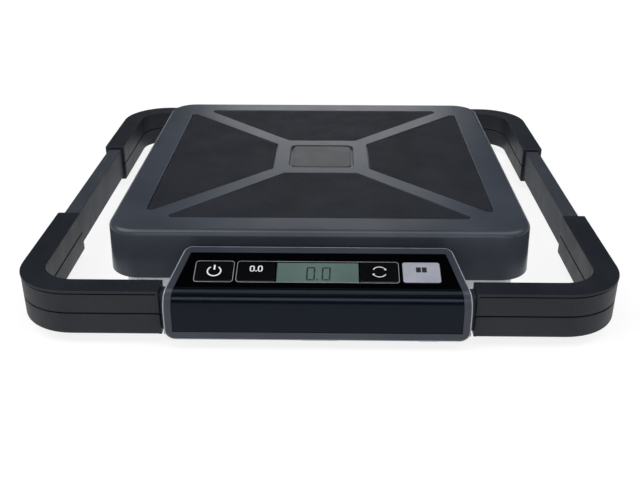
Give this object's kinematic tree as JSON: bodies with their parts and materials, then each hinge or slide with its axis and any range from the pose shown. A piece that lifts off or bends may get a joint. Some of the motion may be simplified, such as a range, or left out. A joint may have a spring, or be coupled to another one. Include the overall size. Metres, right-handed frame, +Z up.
{
  "type": "platform shipping scale",
  "caption": "Low platform shipping scale with padded weighing platform, tube handle frame with corner grips, and a lift-off sloping display head with keys.",
  "frame": {"origin": "on the floor, under the middle of the outer box", "axes": "+Z up; -Y towards the display head and its user; +X to the right as the user faces the display"},
  "size_m": [0.4356, 0.431, 0.064],
  "materials": {
    "slate_plastic": "fine satin moulded",
    "dark_slate_plastic": "satin moulded",
    "pad_rubber": "fine cross-hatched",
    "badge_plate": "satin",
    "light_grey_plastic": "satin moulded",
    "painted_tube": "satin powder coat",
    "zinc_steel": "zinc plated",
    "aluminium": "milled",
    "gloss_black": "high gloss",
    "black_key": "gloss",
    "silver_key": "satin silver",
    "display_glass": "satin polariser",
    "circuit_board": "solder mask",
    "black_rubber": "matt",
    "battery_wrap": "printed wrap"
  },
  "bodies": {
    "base": {"base_cable_grommet": "black_rubber", "base_tray": "light_grey_plastic", "front_bridge": "dark_slate_plastic", "front_bridge_screw_left": "zinc_steel", "front_bridge_screw_right": "zinc_steel", "front_left_foot": "black_rubber", "front_left_grip_lower": "dark_slate_plastic", "front_left_grip_upper": "dark_slate_plastic", "front_left_overload_stop": "zinc_steel", "front_right_foot": "black_rubber", "front_right_grip_lower": "dark_slate_plastic", "front_right_grip_upper": "dark_slate_plastic", "front_right_overload_stop": "zinc_steel", "left_handle_tube": "painted_tube", "load_cell": "aluminium", "load_cell_base_block": "aluminium", "load_cell_lower_bolt_1": "zinc_steel", "load_cell_lower_bolt_2": "zinc_steel", "rear_bridge": "dark_slate_plastic", "rear_bridge_screw_left": "zinc_steel", "rear_bridge_screw_right": "zinc_steel", "rear_left_foot": "black_rubber", "rear_left_grip_lower": "dark_slate_plastic", "rear_left_grip_upper": "dark_slate_plastic", "rear_left_overload_stop": "zinc_steel", "rear_right_foot": "black_rubber", "rear_right_grip_lower": "dark_slate_plastic", "rear_right_grip_upper": "dark_slate_plastic", "rear_right_overload_stop": "zinc_steel", "right_handle_tube": "painted_tube"},
    "platform": {"platform_cover": "slate_plastic", "front_pad": "pad_rubber", "rear_pad": "pad_rubber", "left_pad": "pad_rubber", "right_pad": "pad_rubber", "centre_badge": "badge_plate", "platform_plate": "zinc_steel", "platform_spider": "aluminium", "load_cell_top_block": "aluminium", "load_cell_upper_bolt_1": "zinc_steel", "load_cell_upper_bolt_2": "zinc_steel"},
    "display_head": {"head_shell": "slate_plastic", "face_panel": "gloss_black", "front_panel": "gloss_black", "lcd_glass": "display_glass", "main_board": "circuit_board", "dock_cover": "dark_slate_plastic", "battery_box": "dark_slate_plastic", "battery_cell_1": "battery_wrap", "battery_cell_2": "battery_wrap", "battery_cell_3": "battery_wrap", "battery_contact_left": "zinc_steel", "battery_contact_right": "zinc_steel", "head_cable_grommet": "black_rubber"},
    "power_key": {"key_power": "black_key"},
    "tare_key": {"key_tare": "black_key"},
    "units_key": {"key_units": "black_key"},
    "hold_key": {"key_hold": "silver_key"},
    "battery_door": {"battery_door": "dark_slate_plastic"}
  },
  "joints": [
    {"name": "platform_load", "type": "slide", "parent": "base", "child": "platform", "axis": [0, 0, 1], "range_m": [-0.0008, 0], "stiffness_N_per_m": 250000, "springref_m": 0.0003, "deforming": ["load_cell"]},
    {"name": "head_lift", "type": "slide", "parent": "base", "child": "display_head", "axis": [0, 0, 1], "range_m": [0, 0.06]},
    {"name": "power_press", "type": "slide", "parent": "display_head", "child": "power_key", "axis": [0, 0.2924, -0.9563], "range_m": [0, 0.0006], "stiffness_N_per_m": 1500, "springref_m": -0.0003},
    {"name": "tare_press", "type": "slide", "parent": "display_head", "child": "tare_key", "axis": [0, 0.2924, -0.9563], "range_m": [0, 0.0006], "stiffness_N_per_m": 1500, "springref_m": -0.0003},
    {"name": "units_press", "type": "slide", "parent": "display_head", "child": "units_key", "axis": [0, 0.2924, -0.9563], "range_m": [0, 0.0006], "stiffness_N_per_m": 1500, "springref_m": -0.0003},
    {"name": "hold_press", "type": "slide", "parent": "display_head", "child": "hold_key", "axis": [0, 0.2924, -0.9563], "range_m": [0, 0.0006], "stiffness_N_per_m": 1500, "springref_m": -0.0003},
    {"name": "battery_door_slide", "type": "slide", "parent": "display_head", "child": "battery_door", "axis": [1, 0, 0], "range_m": [0, 0.006]}
  ]
}
